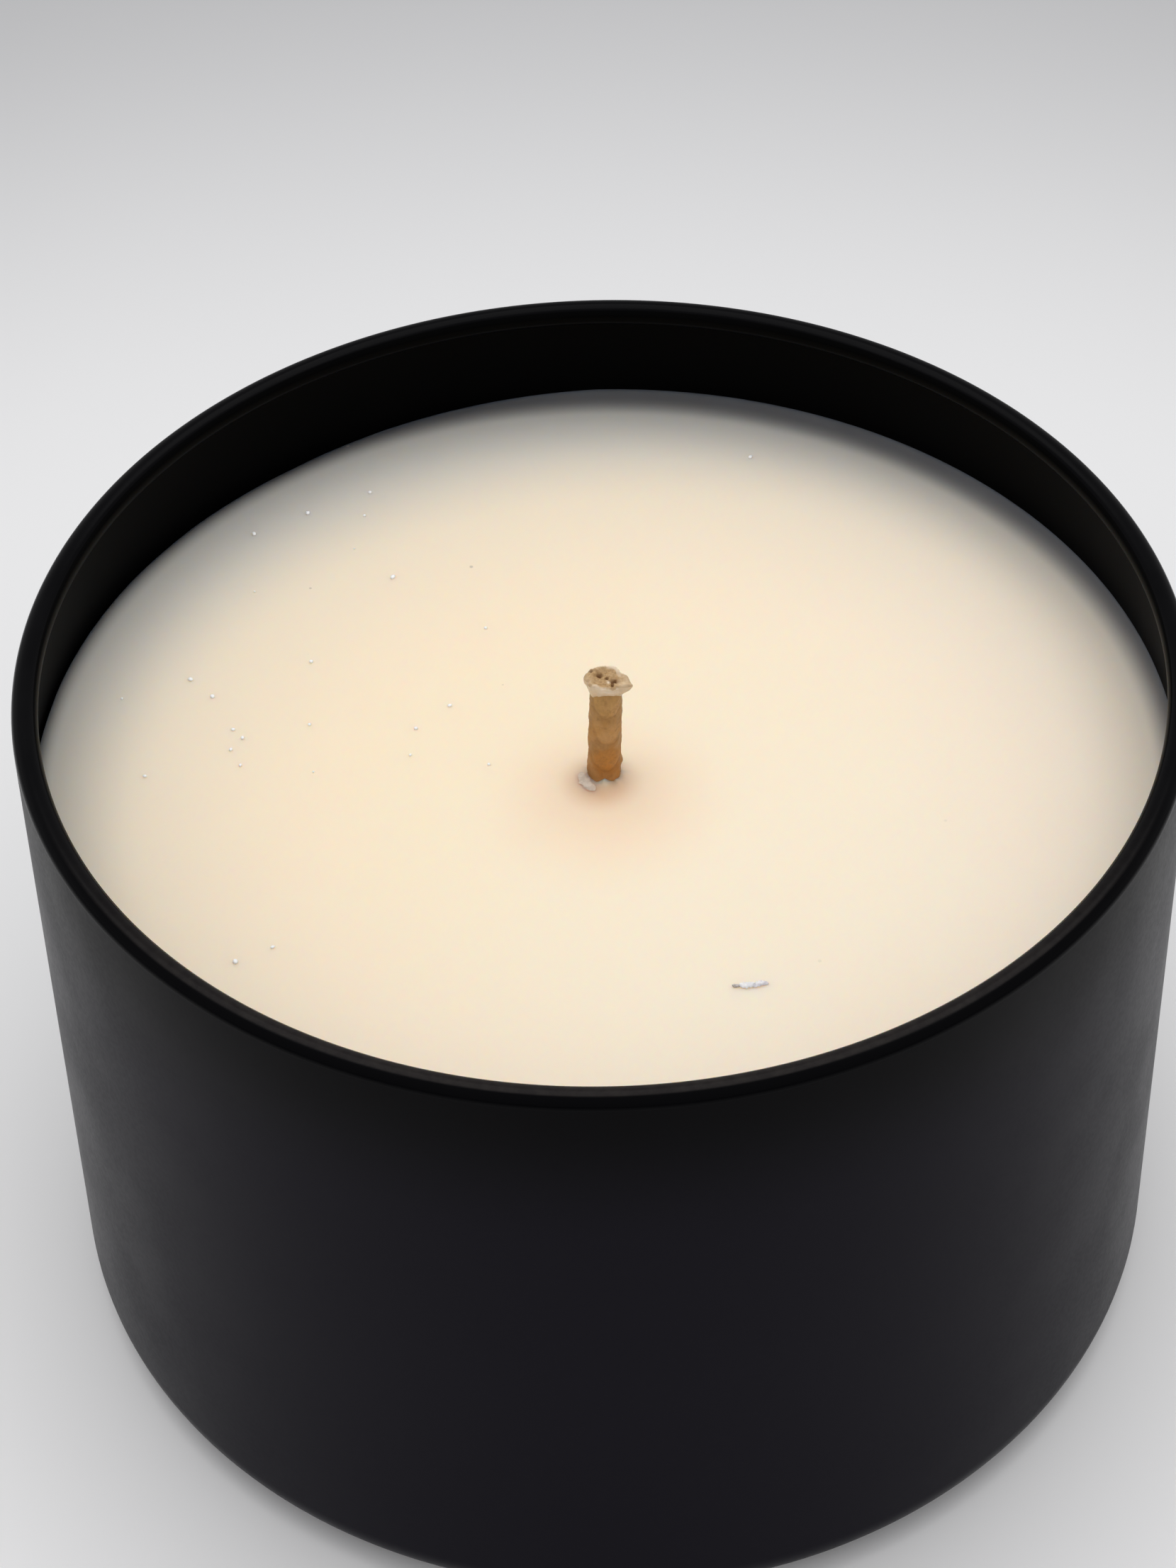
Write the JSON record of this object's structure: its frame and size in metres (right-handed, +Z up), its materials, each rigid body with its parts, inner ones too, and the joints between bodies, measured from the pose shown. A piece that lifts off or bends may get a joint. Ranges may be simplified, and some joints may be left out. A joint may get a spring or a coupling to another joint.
{
  "type": "candle tin",
  "caption": "Seamless round metal tin with an inward-curled rim, filled with poured wax around one upright braided wick on a crimped sustainer.",
  "frame": {"origin": "centre of the tin's foot, on the surface that it stands on", "axes": "+Z up along the tin's axis; the front faces -Y, and the wick stands 1.4 mm in front of the axis"},
  "size_m": [0.08, 0.08, 0.054],
  "materials": {
    "tin_coating": "matt black powder-smooth lacquer on tinplate, inside and out",
    "wax": null,
    "wick_cotton": "braided cotton soaked in wax, tan",
    "priming_wax": "thin pale translucent wax",
    "tinplate": "bright stamped tinplate",
    "adhesive_foam": "white double-sided foam"
  },
  "bodies": {
    "root": {"tin_body": "tin_coating", "wax_fill": "wax", "wick_braid": "wick_cotton", "wick_wax_tip": "priming_wax", "wick_sustainer": "tinplate", "wick_sticker": "adhesive_foam"}
  },
  "joints": []
}
